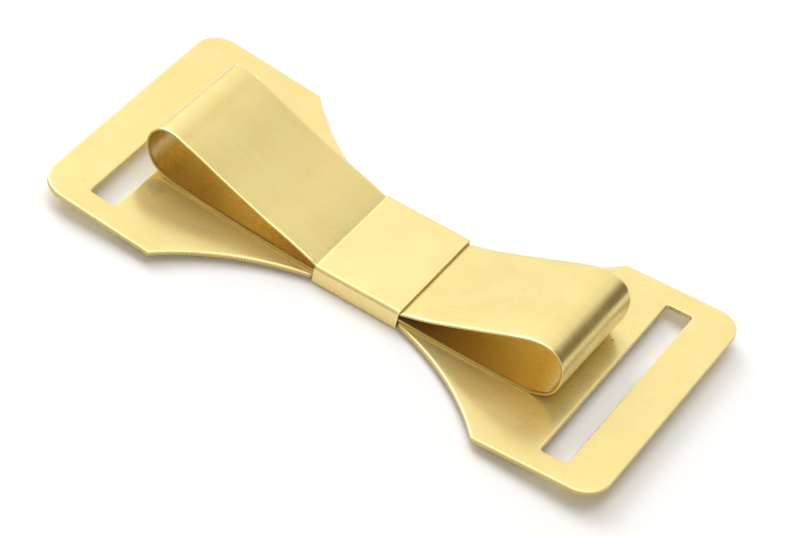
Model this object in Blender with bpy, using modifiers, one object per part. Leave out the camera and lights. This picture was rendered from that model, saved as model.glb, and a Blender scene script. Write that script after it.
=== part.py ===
"""Bow-shaped clip: a looped brass strip held on a flared brass plate by a wrapped centre band.

Frame: metres, +X along the plate, +Z up.  The origin is under the middle of the centre
band, on the flat face that the object rests on.
"""
import math

import bmesh
import bpy

MM = 0.001
CLEARANCE = 0.3 * MM

# Sheet thicknesses
PLATE_THICKNESS = 0.8 * MM
STRIP_THICKNESS = 0.4 * MM
BAND_THICKNESS = 0.4 * MM

# Base plate, measured along the sheet from its middle
PLATE_HALF_LENGTH = 46.5 * MM
PLATE_HALF_WIDTH = 22.9 * MM
CORNER_RADIUS = 4.2 * MM
FLARE_CORNER = 26.8 * MM
FLARE_RADIUS = 40.0 * MM
SHOULDER_HALF_WIDTH = 10.2 * MM
NECK_HALF_LENGTH = 7.4 * MM
NECK_HALF_WIDTH = 9.5 * MM
SLOT_START = 35.5 * MM
SLOT_WIDTH = 4.3 * MM
SLOT_LENGTH = 38.1 * MM
SLOT_CORNER_RADIUS = 0.5 * MM

# Each end of the plate curves up between these two stations, then runs straight
BEND_START = NECK_HALF_LENGTH
BEND_END = 29.4 * MM
BEND_ANGLE = math.radians(4.3)
BEND_STATION = 3.0 * MM

# Bow strip
STRIP_HALF_WIDTH = 9.6 * MM
STRIP_END_GAP = 0.8 * MM

# Centre band
BAND_HALF_LENGTH = 7.1 * MM
BAND_OUTER_RADIUS = 0.7 * MM
BAND_SEAM_GAP = 0.4 * MM

# Heights of the stack at the middle, up from the face that the object rests on
PLATE_BOTTOM = BAND_THICKNESS + CLEARANCE
PLATE_TOP = PLATE_BOTTOM + PLATE_THICKNESS
LOWER_LEG = PLATE_TOP + CLEARANCE + STRIP_THICKNESS / 2
UPPER_LEG = LOWER_LEG + STRIP_THICKNESS + CLEARANCE
BAND_TOP = UPPER_LEG + STRIP_THICKNESS / 2 + CLEARANCE + BAND_THICKNESS
BAND_OUTER_HALF_DEPTH = STRIP_HALF_WIDTH + CLEARANCE + BAND_THICKNESS

# Corners of each loop's centre line, from the upper leg round to the lower leg:
# (distance out from the middle, height above the plate's top, fillet radius)
LEFT_LOOP = (
    (7.0 * MM, UPPER_LEG - PLATE_TOP, 6.0 * MM),
    (39.33 * MM, 11.8 * MM, 3.5 * MM),
    (35.7 * MM, 2.2 * MM, 2.0 * MM),
    (33.0 * MM, 1.75 * MM, 12.0 * MM),
    (24.0 * MM, 1.05 * MM, 60.0 * MM),
    (12.0 * MM, 0.62 * MM, 60.0 * MM),
)
RIGHT_LOOP = (
    (8.2 * MM, UPPER_LEG - PLATE_TOP, 6.0 * MM),
    (32.6 * MM, 12.8 * MM, 4.0 * MM),
    (32.6 * MM, 1.7 * MM, 3.6 * MM),
    (24.0 * MM, 1.05 * MM, 60.0 * MM),
    (12.0 * MM, 0.62 * MM, 60.0 * MM),
)
ARC_STEP = math.radians(7.5)

BRASS = {
    "base_plate": (0.83, 0.64, 0.30, 1.0),
    "bow_strip": (0.80, 0.64, 0.31, 1.0),
    "centre_band": (0.84, 0.66, 0.32, 1.0),
}
ROUGHNESS = {"base_plate": 0.32, "bow_strip": 0.40, "centre_band": 0.30}


def clear_scene():
    for obj in list(bpy.data.objects):
        bpy.data.objects.remove(obj, do_unlink=True)


def new_collection(name):
    collection = bpy.data.collections.new(name)
    bpy.context.scene.collection.children.link(collection)
    return collection


def brass_material(name):
    material = bpy.data.materials.new(name)
    material.use_nodes = True
    shader = material.node_tree.nodes["Principled BSDF"]
    shader.inputs["Base Color"].default_value = BRASS[name]
    shader.inputs["Metallic"].default_value = 1.0
    shader.inputs["Roughness"].default_value = ROUGHNESS[name]
    return material


def arc_points(centre, radius, start, sweep):
    """Points along an arc, both ends included, at about ARC_STEP apart."""
    count = max(1, math.ceil(abs(sweep) / ARC_STEP))
    points = []
    for i in range(count + 1):
        angle = start + sweep * i / count
        points.append((centre[0] + radius * math.cos(angle), centre[1] + radius * math.sin(angle)))
    return points


def fillet(before, corner, after, radius):
    """The arc that rounds one corner of a path."""
    ax, ay = before[0] - corner[0], before[1] - corner[1]
    bx, by = after[0] - corner[0], after[1] - corner[1]
    a_len, b_len = math.hypot(ax, ay), math.hypot(bx, by)
    ax, ay, bx, by = ax / a_len, ay / a_len, bx / b_len, by / b_len
    inside = math.acos(max(-1.0, min(1.0, ax * bx + ay * by)))
    if radius <= 0.0 or math.pi - inside < 1e-6:
        return [corner]
    mx, my = ax + bx, ay + by
    m_len = math.hypot(mx, my)
    reach = radius / math.sin(inside / 2)
    centre = (corner[0] + mx / m_len * reach, corner[1] + my / m_len * reach)
    tangent = radius / math.tan(inside / 2)
    start = math.atan2(corner[1] + ay * tangent - centre[1], corner[0] + ax * tangent - centre[0])
    turn = math.pi - inside
    if ax * by - ay * bx > 0.0:
        turn = -turn
    return arc_points(centre, radius, start, turn)


def rounded_path(corners, closed):
    """A path through (x, y, radius) corners with each corner rounded to its own radius."""
    count = len(corners)
    points = []
    for i, (x, y, radius) in enumerate(corners):
        if not closed and i in (0, count - 1):
            points.append((x, y))
        else:
            points += fillet(corners[i - 1][:2], (x, y), corners[(i + 1) % count][:2], radius)
    return points


def flat_curve(name, outlines, extrude, filled):
    """A 2D curve in its own XY plane, extruded both ways along its own Z."""
    curve = bpy.data.curves.new(name, "CURVE")
    curve.dimensions = "2D"
    curve.fill_mode = "BOTH" if filled else "NONE"
    curve.extrude = extrude
    for points in outlines:
        spline = curve.splines.new("POLY")
        spline.points.add(len(points) - 1)
        for point, (x, y) in zip(spline.points, points):
            point.co = (x, y, 0.0, 1.0)
        spline.use_cyclic_u = filled
    return curve


def mesh_object(name, curve, collection, rotation=(0.0, 0.0, 0.0)):
    """Turn a curve into a welded mesh object that keeps the curve's rotation."""
    guide = bpy.data.objects.new(name + "_guide", curve)
    collection.objects.link(guide)
    guide.rotation_euler = rotation
    bpy.context.view_layer.update()
    evaluated = guide.evaluated_get(bpy.context.evaluated_depsgraph_get())
    mesh = bpy.data.meshes.new_from_object(evaluated)
    mesh.name = name
    obj = bpy.data.objects.new(name, mesh)
    collection.objects.link(obj)
    obj.matrix_world = guide.matrix_world.copy()
    bpy.data.objects.remove(guide, do_unlink=True)
    weld = bmesh.new()
    weld.from_mesh(mesh)
    bmesh.ops.remove_doubles(weld, verts=weld.verts, dist=0.00001)
    bmesh.ops.recalc_face_normals(weld, faces=weld.faces)
    weld.to_mesh(mesh)
    weld.free()
    return obj


def finish(obj):
    obj.data.materials.clear()
    obj.data.materials.append(brass_material(obj.name))
    obj.data.shade_smooth()
    obj.data.set_sharp_from_angle(angle=math.radians(30))


def add_thickness(obj, thickness):
    solidify = obj.modifiers.new("sheet", "SOLIDIFY")
    solidify.thickness = thickness
    solidify.offset = 0.0
    solidify.use_even_offset = True


def waist_quarter():
    """The flare's arc, from the neck's shoulder out to the plate's flare corner."""
    inner = (NECK_HALF_LENGTH, SHOULDER_HALF_WIDTH)
    outer = (FLARE_CORNER, PLATE_HALF_WIDTH)
    dx, dy = outer[0] - inner[0], outer[1] - inner[1]
    chord = math.hypot(dx, dy)
    rise = math.sqrt(FLARE_RADIUS ** 2 - chord ** 2 / 4)
    centre = (
        (inner[0] + outer[0]) / 2 - dy / chord * rise,
        (inner[1] + outer[1]) / 2 + dx / chord * rise,
    )
    start = math.atan2(inner[1] - centre[1], inner[0] - centre[0])
    end = math.atan2(outer[1] - centre[1], outer[0] - centre[0])
    count = 12
    points = []
    for i in range(count + 1):
        angle = start + (end - start) * i / count
        points.append((centre[0] + FLARE_RADIUS * math.cos(angle), centre[1] + FLARE_RADIUS * math.sin(angle)))
    return points


def plate_outline():
    """The whole plate's edge, anticlockwise from the neck, in the flat sheet."""
    corner = fillet(
        (FLARE_CORNER, PLATE_HALF_WIDTH),
        (PLATE_HALF_LENGTH, PLATE_HALF_WIDTH),
        (PLATE_HALF_LENGTH, 0.0),
        CORNER_RADIUS,
    )
    quarter = [(NECK_HALF_LENGTH, NECK_HALF_WIDTH)] + waist_quarter() + corner
    right = [(x, -y) for x, y in quarter] + quarter[::-1]
    left = [(-x, -y) for x, y in right]
    return right + left


def slot_outline(side):
    half = SLOT_LENGTH / 2
    near, far = side * SLOT_START, side * (SLOT_START + SLOT_WIDTH)
    corners = [(near, -half), (far, -half), (far, half), (near, half)]
    return rounded_path([(x, y, SLOT_CORNER_RADIUS) for x, y in corners], closed=True)


def bent(distance, height):
    """Where a point of the flat sheet goes when the plate's ends are curved up."""
    side = math.copysign(1.0, distance)
    reach = abs(distance)
    if reach <= BEND_START:
        return distance, height
    radius = (BEND_END - BEND_START) / BEND_ANGLE
    angle = min(reach - BEND_START, BEND_END - BEND_START) / radius
    straight = max(0.0, reach - BEND_END)
    x = BEND_START + (radius - height) * math.sin(angle) + straight * math.cos(angle)
    z = radius - (radius - height) * math.cos(angle) + straight * math.sin(angle)
    return side * x, z


def build_base_plate(collection):
    outlines = [plate_outline(), slot_outline(1), slot_outline(-1)]
    plate = mesh_object("base_plate", flat_curve("base_plate", outlines, PLATE_THICKNESS / 2, True), collection)
    sheet = bmesh.new()
    sheet.from_mesh(plate.data)
    stations = math.ceil((BEND_END - BEND_START) / BEND_STATION)
    for side in (-1, 1):
        for i in range(stations + 1):
            x = side * (BEND_START + (BEND_END - BEND_START) * i / stations)
            geometry = list(sheet.verts) + list(sheet.edges) + list(sheet.faces)
            bmesh.ops.bisect_plane(sheet, geom=geometry, dist=0.00001, plane_co=(x, 0, 0), plane_no=(1, 0, 0))
    bmesh.ops.dissolve_degenerate(sheet, edges=sheet.edges, dist=0.00001)
    bmesh.ops.triangulate(sheet, faces=sheet.faces)
    for vert in sheet.verts:
        vert.co.x, vert.co.z = bent(vert.co.x, vert.co.z - PLATE_THICKNESS / 2)
        vert.co.z += PLATE_TOP
    sheet.to_mesh(plate.data)
    sheet.free()
    finish(plate)


def loop_corners(loop, side):
    return [(side * out, PLATE_TOP + up, radius) for out, up, radius in loop]


def build_bow_strip(collection):
    left_end = (-STRIP_END_GAP / 2, LOWER_LEG, 0.0)
    right_end = (STRIP_END_GAP / 2, LOWER_LEG, 0.0)
    corners = [left_end] + loop_corners(LEFT_LOOP, -1)[::-1] + loop_corners(RIGHT_LOOP, 1) + [right_end]
    path = rounded_path(corners, closed=False)
    curve = flat_curve("bow_strip", [path], STRIP_HALF_WIDTH, False)
    strip = mesh_object("bow_strip", curve, collection, rotation=(math.pi / 2, 0.0, 0.0))
    add_thickness(strip, STRIP_THICKNESS)
    finish(strip)


def build_centre_band(collection):
    """One strip wrapped round the neck and the bow, its ends meeting underneath."""
    middle = BAND_THICKNESS / 2
    side = BAND_OUTER_HALF_DEPTH - middle
    bend = BAND_OUTER_RADIUS - middle
    low, high = middle, BAND_TOP - middle
    corners = [
        (BAND_SEAM_GAP / 2, low, 0.0),
        (side, low, bend),
        (side, high, bend),
        (-side, high, bend),
        (-side, low, bend),
        (-BAND_SEAM_GAP / 2, low, 0.0),
    ]
    path = rounded_path(corners, closed=False)
    curve = flat_curve("centre_band", [path], BAND_HALF_LENGTH, False)
    band = mesh_object("centre_band", curve, collection, rotation=(math.pi / 2, 0.0, math.pi / 2))
    add_thickness(band, BAND_THICKNESS)
    finish(band)


def main():
    clear_scene()
    collection = new_collection("bow_clip")
    build_base_plate(collection)
    build_bow_strip(collection)
    build_centre_band(collection)


main()
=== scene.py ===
from math import atan2, cos, degrees, radians, sin, tan

import bmesh
import bpy
from mathutils import Euler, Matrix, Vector, noise
from mathutils.geometry import delaunay_2d_cdt


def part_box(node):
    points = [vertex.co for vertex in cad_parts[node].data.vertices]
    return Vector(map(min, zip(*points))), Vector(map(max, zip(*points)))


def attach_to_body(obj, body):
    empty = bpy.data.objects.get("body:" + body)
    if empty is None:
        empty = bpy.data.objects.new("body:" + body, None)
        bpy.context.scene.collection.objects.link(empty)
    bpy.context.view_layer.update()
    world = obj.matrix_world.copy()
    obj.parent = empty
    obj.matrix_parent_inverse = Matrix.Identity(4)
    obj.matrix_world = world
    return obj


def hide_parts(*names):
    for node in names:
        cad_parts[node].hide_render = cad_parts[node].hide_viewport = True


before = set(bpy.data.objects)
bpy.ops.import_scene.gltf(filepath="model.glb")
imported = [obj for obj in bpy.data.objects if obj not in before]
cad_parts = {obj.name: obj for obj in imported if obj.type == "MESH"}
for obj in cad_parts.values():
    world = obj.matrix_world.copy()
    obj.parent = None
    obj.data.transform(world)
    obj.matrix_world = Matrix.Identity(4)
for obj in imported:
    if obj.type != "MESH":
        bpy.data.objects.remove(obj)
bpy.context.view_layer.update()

# A bow clip in sheet brass: a looped strip held on a waisted plate by a wrapped band.
# Lengths are in millimetres, in the frame of the CAD part. Names that end in _M are in metres.

MM = 0.001

# ---- plate ----
PLATE_HALF_LENGTH = 46.5
PLATE_HALF_WIDTH = 22.9
CORNER_RADIUS = 4.2
FLARE_CORNER = 26.8
FLARE_RADIUS = 40.0
SHOULDER_HALF_WIDTH = 10.2
NECK_HALF_LENGTH = 7.4
NECK_HALF_WIDTH = 9.5
NECK_EASE = 0.15
PLATE_BOTTOM = 0.7
PLATE_TOP = 1.5
SLOT_START = 35.5
SLOT_WIDTH = 4.3
SLOT_LENGTH = 38.1
SLOT_CORNER_RADIUS = 0.5
BEND_START = 7.4
BEND_LENGTH = 22.0  # each end is bent up evenly over this length and is straight beyond it
BEND_ANGLE = radians(4.3)
PLATE_WAVE = 0.035
PLATE_WAVE_LENGTHS = (15.0, 13.0)
PLATE_WAVE_SEED = 3.7

# ---- plate mesh ----
PLATE_GRID = 1.0
GRID_CLEARANCE = 0.55
FLARE_STEPS = 36
CORNER_STEPS = 20
SLOT_CORNER_STEPS = 6
INSIDE_WITH_HOLES = 4  # delaunay_2d_cdt's output type for the faces between an outline and its holes
CDT_TOLERANCE = 1e-7

# ---- bow strip ----
STRIP_HALF_WIDTH = 9.65
STRIP_THICKNESS = 0.44
STRIP_END_GAP = 0.8
STRIP_STEP = 0.3
STRIP_SPACING = 0.9
STRIP_HANDLE = 2.0
STRIP_SKEW = radians(-0.85)
STRIP_SHIFT = -0.056
# Share by which the strip's height above the plate grows for each millimetre across it.
LEFT_ROLL = 0.0007
RIGHT_ROLL = 0.0016
# Unevenness of the strip, with places along it measured from the left end under the band. The
# ripple is the row of flat spots round the right loop's end.
STRIP_WAVE = 0.03
STRIP_WAVE_LENGTHS = (9.0, 12.0)
STRIP_WAVE_SEED = 8.1
RIPPLE = 0.045
RIPPLE_LENGTHS = (0.9, 1.0)
RIPPLE_ROW = 5.5
RIPPLE_SEED = 0.4
RIPPLE_DRIFT = 0.15
RIPPLE_DRIFT_LENGTHS = (6.0, 5.0)
RIPPLE_DRIFT_SEED = 2.2
RIPPLE_START = 108.0
RIPPLE_STOP = 123.0
LOOSE_START = 32.0
LOOSE_STOP = 125.0
FADE_LENGTH = 3.0
# Knots of the centre-line: distance from the middle, height above the plate's top, heading in
# degrees (0 outwards, 90 up), and the Bezier handles before and after.
TOP_MIDDLE = (0.0, 1.12, 0.0, 2.2, 2.2)
LEFT_LOOP = (
    (6.0, 1.10, 8.0, 1.6, 0.6),
    (8.2, 1.80, 18.0, 0.7, 0.9),
    (11.6, 2.87, 16.5, 1.2, 1.8),
    (17.1, 4.39, 17.8, 2.0, 3.0),
    (25.0, 7.05, 20.0, 3.0, 2.2),
    (31.0, 9.07, 15.5, 2.2, 1.1),
    (34.1, 9.74, 0.0, 1.3, 1.7),
    (37.15, 6.35, -90.0, 1.75, 1.2),
    (35.75, 2.90, -128.0, 1.2, 0.75),
    (33.2, 1.52, -165.0, 1.0, 1.3),
    (28.8, 1.03, -173.0, 1.6, 2.0),
    (21.7, 0.59, -176.0, 2.2, 2.2),
    (14.8, 0.34, -178.3, 2.2, 2.2),
    (7.4, 0.24, -180.0, 2.2, 2.0),
)
RIGHT_LOOP = (
    (6.6, 1.20, 6.0, 2.0, 0.6),
    (8.6, 1.83, 18.0, 0.8, 0.9),
    (12.3, 3.22, 24.0, 1.4, 2.2),
    (19.4, 6.53, 25.5, 2.4, 1.8),
    (24.6, 8.98, 23.5, 1.8, 1.4),
    (29.0, 10.25, 0.0, 1.7, 1.4),
    (31.95, 8.90, -52.0, 1.2, 0.9),
    (32.72, 6.10, -90.0, 1.1, 1.2),
    (31.7, 2.60, -129.0, 1.4, 0.8),
    (29.0, 1.10, -165.0, 0.9, 1.0),
    (25.5, 0.81, -174.0, 1.3, 2.2),
    (18.0, 0.43, -177.6, 2.4, 2.4),
    (10.0, 0.25, -179.6, 2.4, 2.4),
)

# ---- centre band ----
BAND_HALF_LENGTH = 7.08
BAND_THICKNESS = 0.4
BAND_OUTER_HALF_DEPTH = 10.28
BAND_OUTER_RADIUS = 0.7
BAND_TOP = 3.37
BAND_TILT = radians(0.9)
BAND_SEAM_GAP = 0.4
BAND_STEP = 0.3
BAND_SPACING = 0.6
BAND_CORNER_STEPS = 12
BAND_WAVE = 0.02
BAND_WAVE_LENGTHS = (6.0, 6.0)
BAND_WAVE_SEED = 1.3
BAND_INSET = 0.014  # moves the band's sheet inwards, so that its waves stay above the floor

# ---- sheared edges of the sheets ----
EDGE_RADIUS = 0.09
BURR_RADIUS = 0.045
EDGE_ROLL_WIDTH = 0.55
EDGE_ROLL_DROP = 0.035
# The rolled-over part of a sheared edge, as shares of the roll's width and drop.
EDGE_ROLL = ((1.0, 0.0), (0.72, 0.10), (0.48, 0.30), (0.28, 0.60))

# ---- brass ----
RUST = (0.42, 0.09, 0.03)
SOOT = (0.22, 0.13, 0.05)
OLIVE = (0.40, 0.31, 0.12)
PIT_COLOUR = (0.20, 0.09, 0.03)
# Painted highlight along the rounded cut edges.
EDGE_HIGHLIGHT_COLOUR = (0.95, 0.82, 0.42)
# Lower part of each cut wall: partly a real torn zone, partly painted shade from the shadowed floor that
# the wall faces.
TORN_AND_SHADE_COLOUR = (0.52, 0.36, 0.13)
PIT_SPACING = 5.5
PIT_RADIUS = 0.16
PIT_SHARE = 0.16
# Scales and offsets of the patterns that every sheet has. Scales are waves for each millimetre.
LINES_OFFSET = (7.0, 3.0, 0.0)
CLOUDS_SCALE = (0.16, 0.16, 0.16)
CLOUDS_OFFSET = (2.0, 9.0, 4.0)
SMUDGE_SCALE = (0.07, 0.09, 0.08)
SMUDGE_OFFSET = (5.0, 1.0, 2.0)
LINES_BUMP_DEPTH_M = 0.00002
FINE_BUMP_DEPTH_M = 0.00001
PIT_BUMP_DEPTH_M = -0.00002
PIT_STRENGTH = 0.75
PIT_ROUGHNESS = 0.25
PIT_BUMP = 0.6
# How far the lower cut wall is darkened, partly as painted shade.
TORN_AND_SHADE_STRENGTH = 0.75
# Where each mask starts and is full. The first three are values of a pattern, the next two are
# distances from a cut edge, and the last is a height in the sheet.
CLOUDS_RANGE = (0.35, 0.7)
STREAK_RANGE = (0.35, 0.75)
SMUDGE_RANGE = (0.3, 0.75)
# The painted highlight's distances from a cut edge.
EDGE_HIGHLIGHT_RANGE = (0.45, 0.05)
# The cut wall, which is darkened below the torn height, partly as painted shade.
CUT_RANGE = (0.08, 0.03)
LOW_FACE_RANGE = (0.05, -0.15)
# The looks of the three sheets. stains are (along, across, radius, strength, colour) on the flat
# sheet. low_face is the colour at negative heights: the plate's underside, the insides of the
# loops, and the outside of the band; on the strip it is darker, as painted shade inside the loops.
# The torn height is the height below which a cut edge is torn and darkened, partly as painted shade,
# edge is the strength of the painted highlight along the cut edges, and fine and lines are pattern
# scales.
PLATE_LOOK = {
    "stains": (
        (32.9, 7.1, 0.35, 0.8, RUST),
        (-33.4, -11.6, 2.0, 0.25, OLIVE),
        (-41.8, -18.0, 0.16, 0.7, SOOT),
        (43.9, 5.9, 0.16, 0.6, RUST),
    ),
    "clean": (0.88, 0.755, 0.335),
    "dull": (0.86, 0.725, 0.305),
    "dark": (0.72, 0.54, 0.20),
    "low_face": (0.85, 0.69, 0.29),
    "torn_and_shaded": 0.12,
    "fine": (2.0, 7.0, 1.0),
    "lines": (0.05, 4.0, 0.3),
    "streak": 0.18,
    "edge": 0.35,
    "metallic": 0.64,
    "anisotropy": 0.5,
    "rough": 0.27,
    "rough_lines": 0.06,
    "lines_bump": 0.07,
    "fine_bump": 0.10,
}
STRIP_LOOK = {
    "stains": ((72.5, -5.7, 0.15, 0.6, SOOT), (101.5, 0.9, 0.15, 0.7, SOOT)),
    "clean": (0.86, 0.735, 0.325),
    "dull": (0.835, 0.705, 0.295),
    "dark": (0.68, 0.51, 0.18),
    # Darker than the clean colour: painted shade on the insides of the loops.
    "low_face": (0.81, 0.64, 0.27),
    "torn_and_shaded": 0.03,
    "fine": (3.0, 6.0, 1.0),
    "lines": (0.10, 6.0, 0.3),
    "streak": 0.18,
    "edge": 0.6,
    "metallic": 0.92,
    "anisotropy": 0.6,
    "rough": 0.27,
    "rough_lines": 0.16,
    "lines_bump": 0.24,
    "fine_bump": 0.22,
}
BAND_LOOK = {
    "stains": (),
    "clean": (0.865, 0.72, 0.32),
    "dull": (0.845, 0.695, 0.295),
    "dark": (0.72, 0.53, 0.20),
    "low_face": (0.87, 0.71, 0.315),
    "torn_and_shaded": -0.5,
    "fine": (3.0, 6.0, 1.0),
    "lines": (0.06, 3.0, 0.3),
    "streak": 0.15,
    "edge": 0.5,
    "metallic": 0.88,
    "anisotropy": 0.4,
    "rough": 0.28,
    "rough_lines": 0.08,
    "lines_bump": 0.2,
    "fine_bump": 0.10,
}

# ---- studio ----
FLOOR_HALF_SIZE_M = 3.0
FLOOR_GAP_M = 0.00002
FLOOR_COLOUR = (0.92, 0.93, 0.96, 1.0)
FLOOR_ROUGHNESS = 0.65
FLOOR_SPECULAR = 0.2
# Square area lights aimed at the origin: name, position, side, and power in watts.
LIGHTS_M = (
    ("key", (-0.56, 0.27, 0.58), 0.45, 2.7),
    ("top", (-0.06, 0.13, 0.86), 0.6, 2.5),
)
WHITE = (1.0, 1.0, 1.0)
WARM = (1.0, 0.9, 0.8)
SURROUND_BASE = (0.26, 0.22, 0.17)
# Soft panels of the surround: where each starts, is full, stops being full and ends, in azimuth
# (degrees from +Y towards +X) and in height (-1 to 1), and its brightness. They are the wide panel
# behind to the left, its brighter left part, and the dim right side.
WINDOWS = (
    ((-110, -85, 17, 33), (0.0, 0.16, 0.78, 0.92), 0.74),
    ((-110, -85, -14, 4), (0.0, 0.16, 0.78, 0.92), 0.09),
    ((20, 40, 120, 150), (-0.3, -0.1, 0.35, 0.7), -0.12),
)
# Round soft panels over the camera and low in front: direction, angular radii in degrees of the
# full part and of the whole, and brightness.
LOBES = (
    ((0.05, -0.7, 0.7), 16, 34, 0.85),
    ((0.45, -0.8, 0.25), 12, 35, 0.5),
)
# Rings of light by height: where each starts and is full, and its brightness.
ZENITH = (0.86, 0.97, 0.4)
HORIZON = (0.35, 0.0, 0.08)
CAMERA_POSITION_M = (0.133388, -0.339529, 0.330661)
CAMERA_ANGLES = (0.818878, -0.190231, 0.545420)
CAMERA_LENS = 154.625
CAMERA_SENSOR = 36.0
CAMERA_NEAR_M = 0.01
CAMERA_FAR_M = 50.0


# ---------------------------------------------------------------- paths

def bezier_point(a, b, c, d, t):
    """A point on a cubic Bezier."""
    s = 1.0 - t
    return a * (s * s * s) + b * (3 * s * s * t) + c * (3 * s * t * t) + d * (t * t * t)


def bezier_chain(knots, per_span=40):
    """Points along cubic Beziers through (position, direction, handle before, handle after)."""
    points = [knots[0][0]]
    for (p, p_dir, _, p_out), (q, q_dir, q_in, _) in zip(knots, knots[1:]):
        for i in range(1, per_span + 1):
            points.append(bezier_point(p, p + p_dir * p_out, q - q_dir * q_in, q, i / per_span))
    return points


def resample(points, step):
    """The same open polyline, with points at equal distances of about one step."""
    lengths = [0.0]
    for a, b in zip(points, points[1:]):
        lengths.append(lengths[-1] + (b - a).length)
    count = max(2, round(lengths[-1] / step))
    result = []
    k = 0
    for i in range(count + 1):
        target = lengths[-1] * i / count
        while k < len(points) - 2 and lengths[k + 1] < target:
            k += 1
        share = (target - lengths[k]) / (lengths[k + 1] - lengths[k])
        result.append(points[k].lerp(points[k + 1], share))
    return result


def densify(points, step):
    """Adds points on the long spans only, so tight bends keep theirs."""
    result = [points[0]]
    for a, b in zip(points, points[1:]):
        count = max(1, round((b - a).length / step))
        for i in range(1, count + 1):
            result.append(a.lerp(b, i / count))
    return result


def arc(cx, cy, radius, start, stop, steps):
    """Points on an arc, angles in degrees."""
    points = []
    for i in range(steps + 1):
        angle = radians(start + (stop - start) * i / steps)
        points.append(Vector((cx + radius * cos(angle), cy + radius * sin(angle))))
    return points


def path_normals(points):
    """The unit normal to the left of the path at each point."""
    normals = []
    for i in range(len(points)):
        a = points[max(0, i - 1)]
        b = points[min(len(points) - 1, i + 1)]
        d = (b - a).normalized()
        normals.append(Vector((-d.y, d.x)))
    return normals


def waves(u, v, lengths, seed):
    """Smooth unevenness between about -1 and 1, with one wavelength for each direction."""
    return noise.noise(Vector((u / lengths[0], v / lengths[1], seed)))


def loop_knots(loop, side):
    """One loop's knots in the XZ plane, travelling outwards on the top leg. side is -1 or 1."""
    knots = []
    for out, up, heading, before, after in loop:
        direction = Vector((side * cos(radians(heading)), sin(radians(heading))))
        knots.append((Vector((side * out, PLATE_TOP + up)), direction, before, after))
    return knots


def reversed_knots(knots):
    """The same knots, travelled the other way."""
    return [(p, -d, after, before) for p, d, before, after in reversed(knots)]


def strip_path():
    """The strip's centre-line: from under the band, round the left loop, over, and round the right."""
    left = loop_knots(LEFT_LOOP, -1)
    right = loop_knots(RIGHT_LOOP, 1)
    half_gap = STRIP_END_GAP / 2
    leftwards = Vector((-1, 0))
    start = (Vector((-half_gap, left[-1][0].y)), leftwards, STRIP_HANDLE, STRIP_HANDLE)
    stop = (Vector((half_gap, right[-1][0].y)), leftwards, STRIP_HANDLE, STRIP_HANDLE)
    out, up, _, before, after = TOP_MIDDLE
    middle = (Vector((out, PLATE_TOP + up)), Vector((1, 0)), before, after)
    knots = [start] + reversed_knots(left) + [middle] + right + [stop]
    return resample(bezier_chain(knots), STRIP_STEP)


def band_path():
    """The band's centre-line in the YZ plane, from the seam underneath, up the far side, and round."""
    half_thickness = BAND_THICKNESS / 2
    radius = BAND_OUTER_RADIUS - half_thickness
    y = BAND_OUTER_HALF_DEPTH - half_thickness - radius
    low = half_thickness + radius
    high = BAND_TOP - half_thickness - radius
    points = [Vector((BAND_SEAM_GAP / 2, half_thickness))]
    for cy, cz, first in ((y, low, -90), (y, high, 0), (-y, high, 90), (-y, low, 180)):
        points += arc(cy, cz, radius, first, first + 90, BAND_CORNER_STEPS)
    points.append(Vector((-BAND_SEAM_GAP / 2, half_thickness)))
    return densify(points, BAND_STEP)


# ---------------------------------------------------------------- swept sheets

def edge_profile(half_thickness):
    """Points down one sheared edge, from the rolled face to the burr face: (inset from the cut, height)."""
    profile = []
    for share, drop in EDGE_ROLL:
        profile.append((EDGE_ROLL_WIDTH * share, half_thickness - EDGE_ROLL_DROP * drop))
    top = half_thickness - EDGE_ROLL_DROP - EDGE_RADIUS
    for i in range(6):
        angle = radians(90 - 18 * i)
        profile.append((EDGE_RADIUS * (1 - cos(angle)), top + EDGE_RADIUS * sin(angle)))
    bottom = -half_thickness + BURR_RADIUS
    for i in range(4):
        angle = radians(-30 * i)
        profile.append((BURR_RADIUS * (1 - cos(angle)), bottom + BURR_RADIUS * sin(angle)))
    profile.append((EDGE_ROLL_WIDTH, -half_thickness))
    return profile


def sheet_section(half_width, thickness, spacing, rolled_face):
    """A closed cross-section of a sheared sheet: (across, height, distance from a cut edge)."""
    half = thickness / 2
    edge = edge_profile(half)
    section = []
    inner = half_width - EDGE_ROLL_WIDTH
    count = max(2, round(2 * inner / spacing))
    for i in range(1, count):
        across = -inner + 2 * inner * i / count
        section.append((across, half, half_width - abs(across)))
    for inset, height in edge:
        section.append((half_width - inset, height, inset))
    for i in range(1, count):
        across = inner - 2 * inner * i / count
        section.append((across, -half, half_width - abs(across)))
    for inset, height in reversed(edge):
        section.append((-half_width + inset, height, inset))
    if rolled_face < 0:
        section = [(w, -h, d) for w, h, d in reversed(section)]
    return section


def tube_faces(rings, size):
    """Faces of a closed tube of equal rings, with a cap at each end."""
    faces = []
    for i in range(rings - 1):
        for j in range(size):
            k = (j + 1) % size
            faces.append((i * size + j, i * size + k, (i + 1) * size + k, (i + 1) * size + j))
    faces.append(tuple(range(size - 1, -1, -1)))
    last = (rings - 1) * size
    faces.append(tuple(last + j for j in range(size)))
    return faces


def new_object(name, mesh):
    """A scene object for a mesh."""
    piece = bpy.data.objects.new(name, mesh)
    bpy.context.scene.collection.objects.link(piece)
    return piece


def add_attribute(mesh, name, kind, values):
    """Stores one value for each vertex, for the materials to read."""
    attribute = mesh.attributes.new(name, kind, "POINT")
    for item, value in zip(attribute.data, values):
        if kind == "FLOAT_VECTOR":
            item.vector = value
        else:
            item.value = value


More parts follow.
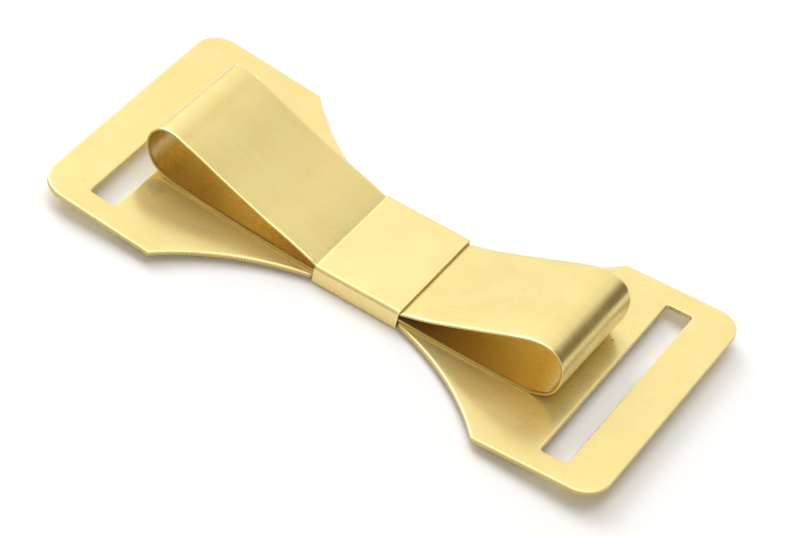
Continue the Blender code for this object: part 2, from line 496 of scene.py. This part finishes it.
def sheet_object(name, vertices, faces, grain, rolling, rims):
    """A piece of sheet. Each vertex also has its place on the flat sheet, the direction in which the
    brass was rolled, and its distance from a cut edge."""
    mesh = bpy.data.meshes.new(name)
    mesh.from_pydata(vertices, [], faces)
    add_attribute(mesh, "grain", "FLOAT_VECTOR", grain)
    add_attribute(mesh, "rolling", "FLOAT_VECTOR", rolling)
    add_attribute(mesh, "rim", "FLOAT", rims)
    turn_outwards(mesh)
    mesh.shade_smooth()
    mesh.validate()
    return new_object(name, mesh)


def turn_outwards(mesh):
    """Turns the faces outwards."""
    bm = bmesh.new()
    bm.from_mesh(mesh)
    bmesh.ops.recalc_face_normals(bm, faces=bm.faces)
    bm.to_mesh(mesh)
    bm.free()


def swept_sheet(name, path, section, place, warp):
    """A sheet with one section along a path. place turns (path point, across) into a point in space."""
    vertices = []
    grain = []
    rolling = []
    rims = []
    along = 0.0
    total = sum((b - a).length for a, b in zip(path, path[1:]))
    for i, (point, normal) in enumerate(zip(path, path_normals(path))):
        if i:
            along += (point - path[i - 1]).length
        forward = Vector((normal.y, -normal.x))
        tangent = (place(point + forward, 0.0) - place(point, 0.0)).normalized()
        for across, height, inset in section:
            lift = height + warp(along, across)
            vertices.append(place(point + normal * lift, across) * MM)
            grain.append(Vector((along, across, height)))
            rolling.append(tangent)
            rims.append(min(inset, along, total - along))
    return sheet_object(name, vertices, tube_faces(len(path), len(section)), grain, rolling, rims)


# ---------------------------------------------------------------- plate

def waist_quarter():
    """The outline's part from the neck's end out to the flare corner, where x and y are positive."""
    dx = FLARE_CORNER - NECK_HALF_LENGTH
    dy = PLATE_HALF_WIDTH - SHOULDER_HALF_WIDTH
    chord = (dx * dx + dy * dy) ** 0.5
    rise = (FLARE_RADIUS ** 2 - chord ** 2 / 4) ** 0.5
    cx = NECK_HALF_LENGTH + dx / 2 - dy / chord * rise
    cy = SHOULDER_HALF_WIDTH + dy / 2 + dx / chord * rise
    first = degrees(atan2(SHOULDER_HALF_WIDTH - cy, NECK_HALF_LENGTH - cx))
    last = degrees(atan2(PLATE_HALF_WIDTH - cy, FLARE_CORNER - cx))
    neck_end = Vector((NECK_HALF_LENGTH - NECK_EASE, NECK_HALF_WIDTH))
    return [neck_end] + arc(cx, cy, FLARE_RADIUS, first, last, FLARE_STEPS)


def plate_outline():
    """The blank's outline, anticlockwise from the upper corner of its right end."""
    corner_x = PLATE_HALF_LENGTH - CORNER_RADIUS
    corner_y = PLATE_HALF_WIDTH - CORNER_RADIUS
    corner = arc(corner_x, corner_y, CORNER_RADIUS, 90, 0, CORNER_STEPS)
    upper_right = waist_quarter() + corner
    right_to_middle = [Vector(p) for p in reversed(upper_right)]
    middle_to_left = [Vector((-p.x, p.y)) for p in upper_right]
    top = right_to_middle + middle_to_left
    bottom = [Vector((-p.x, -p.y)) for p in top]
    return top + bottom


def slot_outline(side):
    """One slot's outline, clockwise, so that the brass is on its left as it is on the outer outline's."""
    r = SLOT_CORNER_RADIUS
    near = SLOT_START + r
    far = SLOT_START + SLOT_WIDTH - r
    y = SLOT_LENGTH / 2 - r
    points = []
    for cx, cy, first in ((near, y, 180), (far, y, 90), (far, -y, 0), (near, -y, -90)):
        points += arc(cx, cy, r, first, first - 90, SLOT_CORNER_STEPS)
    if side < 0:
        points = [Vector((-p.x, p.y)) for p in reversed(points)]
    return points


def offset_loop(points, distance):
    """A closed outline moved to its left, with mitred corners."""
    result = []
    count = len(points)
    for i, p in enumerate(points):
        before = (p - points[i - 1]).normalized()
        after = (points[(i + 1) % count] - p).normalized()
        n1 = Vector((-before.y, before.x))
        n2 = Vector((-after.y, after.x))
        bisector = (n1 + n2).normalized()
        result.append(p + bisector * (distance / max(0.3, bisector.dot(n1))))
    return result


def split_long(points, step):
    """A closed outline with points added on its long spans."""
    closed = points + [points[0]]
    return densify(closed, step)[:-1]


def bent(distance, height):
    """Position of a point of the plate, given its distance from the middle and its height."""
    side = 1.0 if distance >= 0 else -1.0
    run = abs(distance)
    if run <= BEND_START:
        return side * run, height
    radius = BEND_LENGTH / BEND_ANGLE
    angle = min(run - BEND_START, BEND_LENGTH) / radius
    rest = max(0.0, run - BEND_START - BEND_LENGTH)
    base_x = BEND_START + radius * sin(angle) + rest * cos(angle)
    base_z = radius * (1 - cos(angle)) + rest * sin(angle)
    return side * (base_x - height * sin(angle)), base_z + height * cos(angle)


def plate_waviness(x, y):
    """Small unevenness of a hand-pressed sheet."""
    return PLATE_WAVE * waves(x, y, PLATE_WAVE_LENGTHS, PLATE_WAVE_SEED)


def inside_outline(point, outline):
    """True when the point lies in the closed outline."""
    inside = False
    for a, b in zip(outline, outline[1:] + outline[:1]):
        if (a.y > point.y) != (b.y > point.y):
            if point.x < a.x + (point.y - a.y) * (b.x - a.x) / (b.y - a.y):
                inside = not inside
    return inside


def nearest_distance(point, outlines):
    """Distance from a point to the nearest outline point."""
    return min((point - p).length for loop in outlines for p in loop)


def grid_points(borders):
    """Points of an even staggered grid that lie on the brass, clear of the borders."""
    points = []
    columns = int(PLATE_HALF_LENGTH / PLATE_GRID)
    rows = int(PLATE_HALF_WIDTH / PLATE_GRID)
    for i in range(-columns, columns + 1):
        for j in range(-rows, rows + 1):
            p = Vector((i * PLATE_GRID, (j + 0.5 * (i % 2)) * PLATE_GRID))
            if not inside_outline(p, borders[0]):
                continue
            if any(inside_outline(p, hole) for hole in borders[1:]):
                continue
            if nearest_distance(p, borders) > GRID_CLEARANCE * PLATE_GRID:
                points.append(p)
    return points


def border_edges(borders):
    """Each border's edges, with its points numbered on from the border before it."""
    edges = []
    start = 0
    for border in borders:
        count = len(border)
        edges += [(start + i, start + (i + 1) % count) for i in range(count)]
        start += count
    return edges


class Blank:
    """The plate's mesh while it is flat: each vertex's place, height and distance from an edge."""

    def __init__(self):
        self.flat = []
        self.heights = []
        self.rims = []
        self.faces = []

    def add(self, point, height, rim):
        """Adds a vertex and returns its number."""
        self.flat.append(point)
        self.heights.append(height)
        self.rims.append(rim)
        return len(self.flat) - 1

    def add_edge(self, outline, profile):
        """Adds the sheared edge along one outline. Returns the numbers of each of its rings."""
        rings = []
        for inset, height in profile:
            rings.append([self.add(p, height, inset) for p in offset_loop(outline, inset)])
        for outer, inner in zip(rings, rings[1:]):
            for i in range(len(outline)):
                k = (i + 1) % len(outline)
                self.faces.append((outer[i], inner[i], inner[k], outer[k]))
        return rings

    def fill(self, rings, height):
        """Fills the top or the underside between its border rings: the outline's, then the slots'."""
        borders = [[self.flat[i] for i in ring] for ring in rings]
        border_ids = [i for ring in rings for i in ring]
        fixed = len(border_ids)
        points = [p for border in borders for p in border] + grid_points(borders)
        result = delaunay_2d_cdt(points, border_edges(borders), [], INSIDE_WITH_HOLES, CDT_TOLERANCE)
        new_points, triangles, origins = result[0], result[2], result[3]
        ids = []
        for point, origin in zip(new_points, origins):
            old = [o for o in origin if o < fixed]
            if old:
                ids.append(border_ids[old[0]])
            else:
                rim = nearest_distance(point, borders) + EDGE_ROLL_WIDTH
                ids.append(self.add(Vector(point), height, rim))
        # A triangle between three points of the slots' outlines lies in a slot, not on the brass.
        first_slot_point = len(borders[0])
        for triangle in triangles:
            corners = [o for i in triangle for o in origins[i] if first_slot_point <= o < fixed]
            if len(corners) < 3:
                self.faces.append(tuple(ids[i] for i in triangle))


def build_plate():
    """The base plate: a flat blank with rolled and rounded edges, bent up at both ends."""
    half = (PLATE_TOP - PLATE_BOTTOM) / 2
    middle = (PLATE_TOP + PLATE_BOTTOM) / 2
    blank = Blank()
    profile = edge_profile(half)
    edges = []
    for outline in (plate_outline(), slot_outline(1), slot_outline(-1)):
        edges.append(blank.add_edge(split_long(outline, PLATE_GRID), profile))
    blank.fill([rings[0] for rings in edges], half)
    blank.fill([rings[-1] for rings in edges], -half)
    vertices = []
    grain = []
    for p, height in zip(blank.flat, blank.heights):
        x, z = bent(p.x, height)
        vertices.append(Vector((x, p.y, middle + z + plate_waviness(p.x, p.y))) * MM)
        grain.append(Vector((p.x, p.y, height)))
    rolling = [Vector((1.0, 0.0, 0.0))] * len(vertices)
    return sheet_object("plate", vertices, blank.faces, grain, rolling, blank.rims)


# ---------------------------------------------------------------- strip and band

def strip_place(point, across):
    """The strip's section is drawn in the XZ plane and runs across Y, slightly askew as assembled."""
    share = min(1.0, max(0.0, 0.5 + point.x / (2 * BAND_HALF_LENGTH)))
    roll = LEFT_ROLL + (RIGHT_ROLL - LEFT_ROLL) * share
    up = PLATE_TOP + (point.y - PLATE_TOP) * (1 + roll * across)
    x = point.x * cos(STRIP_SKEW) - across * sin(STRIP_SKEW)
    y = point.x * sin(STRIP_SKEW) + across * cos(STRIP_SKEW) + STRIP_SHIFT
    return Vector((x, y, up + plate_waviness(x, y)))


def faded(along, start, stop):
    """1 between two places along the strip and 0 beyond them, with short slopes inside the ends."""
    return min(1.0, max(0.0, min(along - start, stop - along) / FADE_LENGTH))


def strip_warp(along, across):
    """Slight unevenness left by bending the loops by hand, with flat spots round the right loop's end."""
    wave = STRIP_WAVE * waves(along, across, STRIP_WAVE_LENGTHS, STRIP_WAVE_SEED)
    drift = RIPPLE_DRIFT * waves(across, along, RIPPLE_DRIFT_LENGTHS, RIPPLE_DRIFT_SEED)
    ripple = RIPPLE * waves(along + drift, RIPPLE_ROW, RIPPLE_LENGTHS, RIPPLE_SEED)
    wave *= faded(along, LOOSE_START, LOOSE_STOP)
    ripple *= faded(along, RIPPLE_START, RIPPLE_STOP)
    return wave + ripple


def build_strip():
    """The bow strip, with both loops. Its rolled face is the outer one."""
    section = sheet_section(STRIP_HALF_WIDTH, STRIP_THICKNESS, STRIP_SPACING, 1)
    return swept_sheet("bow", strip_path(), section, strip_place, strip_warp)


def band_place(point, across):
    """The band's section is drawn in the YZ plane and runs along X, with its top tilted slightly."""
    rise = across * tan(BAND_TILT) * max(0.0, point.y / BAND_TOP)
    return Vector((across, point.x, point.y + rise))


def band_warp(along, across):
    """Slight unevenness of the band."""
    return BAND_WAVE * waves(along, across, BAND_WAVE_LENGTHS, BAND_WAVE_SEED) + BAND_INSET


def build_band():
    """The centre band, wrapped round the stack. Its rolled face is the outer one."""
    section = sheet_section(BAND_HALF_LENGTH, BAND_THICKNESS, BAND_SPACING, -1)
    return swept_sheet("band", band_path(), section, band_place, band_warp)


# ---------------------------------------------------------------- materials

class Tree:
    """Short calls for building the shader nodes of a material or a world."""

    def __init__(self, owner):
        owner.use_nodes = True
        self.tree = owner.node_tree

    def add(self, kind, **settings):
        """A new node of one kind, with its settings."""
        node = self.tree.nodes.new("ShaderNode" + kind)
        for key, value in settings.items():
            setattr(node, key, value)
        return node

    def link(self, source, target):
        """Joins an output to an input."""
        self.tree.links.new(source, target)

    def math(self, operation, a, b=None, c=None):
        """The result of an operation on numbers and sockets."""
        node = self.add("Math", operation=operation)
        for socket, value in zip(node.inputs, (a, b, c)):
            if value is None:
                continue
            if isinstance(value, (int, float)):
                socket.default_value = value
            else:
                self.link(value, socket)
        return node.outputs[0]

    def ramp(self, value, low, high, to_low=0.0, to_high=1.0):
        """A smooth step from to_low to to_high as the value goes from low to high."""
        node = self.add("MapRange", interpolation_type="SMOOTHSTEP")
        node.inputs["From Min"].default_value = low
        node.inputs["From Max"].default_value = high
        node.inputs["To Min"].default_value = to_low
        node.inputs["To Max"].default_value = to_high
        self.link(value, node.inputs["Value"])
        return node.outputs[0]


class Nodes(Tree):
    """The nodes of one material."""

    def __init__(self, name):
        self.material = bpy.data.materials.new(name)
        super().__init__(self.material)
        self.surface = self.tree.nodes["Principled BSDF"]

    def attribute(self, name):
        """A value that the mesh stores for each vertex."""
        return self.add("Attribute", attribute_type="GEOMETRY", attribute_name=name)

    def scaled(self, vector, scale, offset=(0.0, 0.0, 0.0)):
        """A place scaled along each axis and then moved."""
        node = self.add("Mapping")
        node.inputs["Scale"].default_value = scale
        node.inputs["Location"].default_value = offset
        self.link(vector, node.inputs["Vector"])
        return node.outputs[0]

    def noise(self, vector, detail=3.0, roughness=0.5, distortion=0.0):
        """A cloudy pattern from 0 to 1 with a wavelength of about 1."""
        node = self.add("TexNoise")
        node.inputs["Scale"].default_value = 1.0
        node.inputs["Detail"].default_value = detail
        node.inputs["Roughness"].default_value = roughness
        node.inputs["Distortion"].default_value = distortion
        self.link(vector, node.inputs["Vector"])
        return node.outputs["Fac"]

    def blend(self, share, first, second):
        """Colours or colour sockets mixed by a share from 0 to 1."""
        node = self.add("Mix", data_type="RGBA")
        self.link(share, node.inputs[0])
        for socket, value in ((node.inputs[6], first), (node.inputs[7], second)):
            if isinstance(value, tuple):
                socket.default_value = (*value, 1.0)
            else:
                self.link(value, socket)
        return node.outputs[2]

    def bumps(self, height, strength, distance, normal=None):
        """A normal with the height pattern added to it."""
        node = self.add("Bump")
        node.inputs["Strength"].default_value = strength
        node.inputs["Distance"].default_value = distance
        self.link(height, node.inputs["Height"])
        if normal is not None:
            self.link(normal, node.inputs["Normal"])
        return node.outputs[0]


def pits(nodes, vector, cell, radius, share):
    """A mask of sparse small dark pits. cell is their spacing, share how many cells have one."""
    cells = nodes.add("TexVoronoi", voronoi_dimensions="3D", feature="F1")
    cells.inputs["Scale"].default_value = 1.0 / cell
    nodes.link(vector, cells.inputs["Vector"])
    near = nodes.ramp(cells.outputs["Distance"], radius / cell, 0.3 * radius / cell)
    split = nodes.add("SeparateColor")
    nodes.link(cells.outputs["Color"], split.inputs[0])
    chosen = nodes.math("LESS_THAN", split.outputs[0], share)
    return nodes.math("MULTIPLY", near, chosen)


def stain(nodes, grain, centre, radius):
    """A mask of one round soft mark on a sheet."""
    flat = nodes.scaled(grain, (1.0, 1.0, 0.0))
    apart = nodes.add("VectorMath", operation="DISTANCE")
    apart.inputs[1].default_value = centre
    nodes.link(flat, apart.inputs[0])
    ragged = nodes.noise(nodes.scaled(grain, (1.6 / radius,) * 3), detail=2.0)
    distance = nodes.math("MULTIPLY_ADD", ragged, radius, apart.outputs["Value"])
    return nodes.ramp(distance, 1.5 * radius, 0.6 * radius)


def sheet_patterns(nodes, look):
    """The patterns of one sheet that its colour, roughness and bumps share."""
    grain = nodes.attribute("grain").outputs["Vector"]
    axes = nodes.add("SeparateXYZ")
    nodes.link(grain, axes.inputs[0])
    fine = nodes.scaled(grain, look["fine"])
    lines = nodes.scaled(grain, look["lines"], LINES_OFFSET)
    clouds = nodes.scaled(grain, CLOUDS_SCALE, CLOUDS_OFFSET)
    smudge = nodes.scaled(grain, SMUDGE_SCALE, SMUDGE_OFFSET)
    return {
        "grain": grain,
        "height": axes.outputs[2],
        "rim": nodes.attribute("rim").outputs["Fac"],
        "fine": nodes.noise(fine, detail=2.0, roughness=0.6),
        "lines": nodes.noise(lines, detail=4.0, roughness=0.65),
        "clouds": nodes.noise(clouds, detail=4.0),
        "smudge": nodes.noise(smudge, detail=2.0, distortion=0.6),
        "pit": pits(nodes, grain, PIT_SPACING, PIT_RADIUS, PIT_SHARE),
    }


def face_colour(nodes, look, patterns):
    """Clean and dull brass in clouds, with darker lines, pits, a browner low face and stains; on the strip
    the low face's darker colour is painted shade inside the loops.
    """
    tarnish = nodes.ramp(patterns["clouds"], *CLOUDS_RANGE)
    colour = nodes.blend(tarnish, look["clean"], look["dull"])
    streak = nodes.ramp(patterns["lines"], *STREAK_RANGE, 0.0, look["streak"])
    colour = nodes.blend(streak, colour, look["dark"])
    pit = nodes.math("MULTIPLY", patterns["pit"], PIT_STRENGTH)
    colour = nodes.blend(pit, colour, PIT_COLOUR)
    # The low face; on the strip its darker colour is painted shade inside the loops.
    low_face = nodes.ramp(patterns["height"], *LOW_FACE_RANGE)
    colour = nodes.blend(low_face, colour, look["low_face"])
    for along, across, radius, amount, tint in look["stains"]:
        mark = stain(nodes, patterns["grain"], (along, across, 0.0), radius)
        colour = nodes.blend(nodes.math("MULTIPLY", mark, amount), colour, tint)
    return colour


def edge_colour(nodes, look, patterns, colour):
    """The colour with a painted highlight along the cut edges and, on the cut itself, a darker lower part
    that is partly torn and partly painted shade.
    """
    # Painted highlight along the cut edges.
    painted_edge_highlight = nodes.ramp(patterns["rim"], *EDGE_HIGHLIGHT_RANGE, 0.0, look["edge"])
    colour = nodes.blend(painted_edge_highlight, colour, EDGE_HIGHLIGHT_COLOUR)
    # Darkens the lower part of each cut wall: a real torn zone, and painted shade from the shadowed floor
    # that the wall faces.
    cut = nodes.ramp(patterns["rim"], *CUT_RANGE)
    above = look["torn_and_shaded"] + 0.08
    below = look["torn_and_shaded"] - 0.04
    torn_and_shaded = nodes.ramp(patterns["height"], above, below, 0.0, TORN_AND_SHADE_STRENGTH)
    return nodes.blend(nodes.math("MULTIPLY", cut, torn_and_shaded), colour, TORN_AND_SHADE_COLOUR)


def sheet_roughness(nodes, look, patterns):
    """Smoother and duller areas, rougher lines, and rough pits."""
    low = look["rough"] - 0.03
    high = look["rough"] + 0.06
    smudged = nodes.ramp(patterns["smudge"], *SMUDGE_RANGE, low, high)
    amount = look["rough_lines"]
    lines = nodes.math("MULTIPLY_ADD", patterns["lines"], amount, -0.5 * amount)
    pit = nodes.math("MULTIPLY", patterns["pit"], PIT_ROUGHNESS)
    return nodes.math("ADD", nodes.math("ADD", smudged, lines), pit)


def sheet_normal(nodes, look, patterns):
    """Rolling lines, fine grain and sunk pits."""
    normal = nodes.bumps(patterns["lines"], look["lines_bump"], LINES_BUMP_DEPTH_M)
    normal = nodes.bumps(patterns["fine"], look["fine_bump"], FINE_BUMP_DEPTH_M, normal)
    return nodes.bumps(patterns["pit"], PIT_BUMP, PIT_BUMP_DEPTH_M, normal)


def brass(name, look):
    """Raw sheet brass with rolled grain, faint tarnish, smudges and pits, a painted highlight along the cut
    edges, and painted shade on the cut walls and inside the strip's loops.
    """
    nodes = Nodes(name)
    surface = nodes.surface.inputs
    patterns = sheet_patterns(nodes, look)
    colour = face_colour(nodes, look, patterns)
    nodes.link(edge_colour(nodes, look, patterns, colour), surface["Base Color"])
    nodes.link(sheet_roughness(nodes, look, patterns), surface["Roughness"])
    nodes.link(sheet_normal(nodes, look, patterns), surface["Normal"])
    nodes.link(nodes.attribute("rolling").outputs["Vector"], surface["Tangent"])
    surface["Anisotropic"].default_value = look["anisotropy"]
    surface["Metallic"].default_value = look["metallic"]
    return nodes.material


def floor_material():
    """A plain white matt table top."""
    nodes = Nodes("floor_white")
    surface = nodes.surface.inputs
    surface["Base Color"].default_value = FLOOR_COLOUR
    surface["Roughness"].default_value = FLOOR_ROUGHNESS
    surface["Specular IOR Level"].default_value = FLOOR_SPECULAR
    return nodes.material


# ---------------------------------------------------------------- studio

def cad_bounds_low():
    """Height of the lowest point of the part, in metres."""
    return min(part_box(name)[0].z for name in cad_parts)


def build_floor():
    """A plain pale floor just under the clip."""
    mesh = bpy.data.meshes.new("floor")
    s = FLOOR_HALF_SIZE_M
    z = cad_bounds_low() - FLOOR_GAP_M
    mesh.from_pydata([(-s, -s, z), (s, -s, z), (s, s, z), (-s, s, z)], [], [(0, 1, 2, 3)])
    floor = new_object("floor", mesh)
    mesh.materials.append(floor_material())


def area_light(name, position, side, power):
    """A square softbox aimed at the origin."""
    data = bpy.data.lights.new(name, "AREA")
    data.shape = "RECTANGLE"
    data.size = side
    data.size_y = side
    data.energy = power
    light = bpy.data.objects.new(name, data)
    bpy.context.scene.collection.objects.link(light)
    light.location = position
    light.rotation_euler = (-Vector(position)).to_track_quat("-Z", "Y").to_euler()


class Surround(Tree):
    """The studio round the clip: soft panels and a darker side, as brightness by direction."""

    def __init__(self):
        world = bpy.data.worlds.new("studio")
        bpy.context.scene.world = world
        super().__init__(world)
        self.background = self.tree.nodes["Background"]
        self.direction = self.add("TexCoord").outputs["Generated"]
        axes = self.add("SeparateXYZ")
        self.axes = axes.outputs
        self.link(self.direction, axes.inputs[0])

    def ring(self, low, high, amount):
        """Light by height alone: none at low, and the full amount at high and beyond."""
        return self.ramp(self.axes[2], low, high, 0.0, amount)

    def lobe(self, aim, inner, outer, amount):
        """A round soft panel: aim is its direction, inner and outer its angular radii in degrees."""
        node = self.add("VectorMath", operation="DOT_PRODUCT")
        node.inputs[1].default_value = Vector(aim).normalized()
        self.link(self.direction, node.inputs[0])
        start = cos(radians(outer))
        full = cos(radians(inner))
        return self.ramp(node.outputs["Value"], start, full, 0.0, amount)

    def window(self, azimuths, heights, amount):
        """A panel between two azimuths, from +Y towards +X in degrees, and between two heights."""
        azimuth = self.math("ARCTAN2", self.axes[0], self.axes[1])
        left = self.ramp(azimuth, radians(azimuths[0]), radians(azimuths[1]))
        right = self.ramp(azimuth, radians(azimuths[2]), radians(azimuths[3]), 1.0, 0.0)
        low = self.ramp(self.axes[2], heights[0], heights[1])
        high = self.ramp(self.axes[2], heights[2], heights[3], 1.0, 0.0)
        across = self.math("MULTIPLY", left, right)
        upward = self.math("MULTIPLY", low, high)
        return self.math("MULTIPLY", self.math("MULTIPLY", across, upward), amount)

    def finish(self, base, parts):
        """Adds up the parts, each a colour and its share by direction, over an even base colour."""
        total = None
        for colour, share in parts:
            scaled = self.add("VectorMath", operation="SCALE")
            scaled.inputs[0].default_value = colour
            self.link(share, scaled.inputs["Scale"])
            added = self.add("VectorMath", operation="ADD")
            self.link(scaled.outputs[0], added.inputs[0])
            if total is None:
                added.inputs[1].default_value = base
            else:
                self.link(total, added.inputs[1])
            total = added.outputs[0]
        self.link(total, self.background.inputs["Color"])
        self.background.inputs["Strength"].default_value = 1.0


def build_world():
    """A light tent: a wide bright panel behind to the left, two panels in front, and a dim right side."""
    studio = Surround()
    parts = [(WHITE, studio.window(*window)) for window in WINDOWS]
    parts.append((WHITE, studio.ring(*ZENITH)))
    parts.append((WARM, studio.ring(*HORIZON)))
    parts += [(WHITE, studio.lobe(*lobe)) for lobe in LOBES]
    studio.finish(SURROUND_BASE, parts)


def build_camera():
    """A long lens in front and a little to the right, looking down at the clip at 42 degrees."""
    data = bpy.data.cameras.new("camera")
    data.lens = CAMERA_LENS
    data.sensor_width = CAMERA_SENSOR
    data.clip_start = CAMERA_NEAR_M
    data.clip_end = CAMERA_FAR_M
    camera = bpy.data.objects.new("camera", data)
    bpy.context.scene.collection.objects.link(camera)
    camera.location = CAMERA_POSITION_M
    camera.rotation_euler = Euler(CAMERA_ANGLES)
    bpy.context.scene.camera = camera


def attach(piece, node, material):
    """Gives a piece its material and its place in the frame."""
    piece.data.materials.append(material)
    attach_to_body(piece, "root")
    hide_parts(node)


def main():
    """The three sheets of the clip, and the studio round them."""
    attach(build_plate(), "base_plate", brass("plate_brass_look", PLATE_LOOK))
    attach(build_strip(), "bow_strip", brass("strip_brass_look", STRIP_LOOK))
    attach(build_band(), "centre_band", brass("band_brass_look", BAND_LOOK))
    build_floor()
    build_world()
    for light in LIGHTS_M:
        area_light(*light)
    build_camera()
    bpy.context.scene.view_settings.view_transform = "Standard"


main()
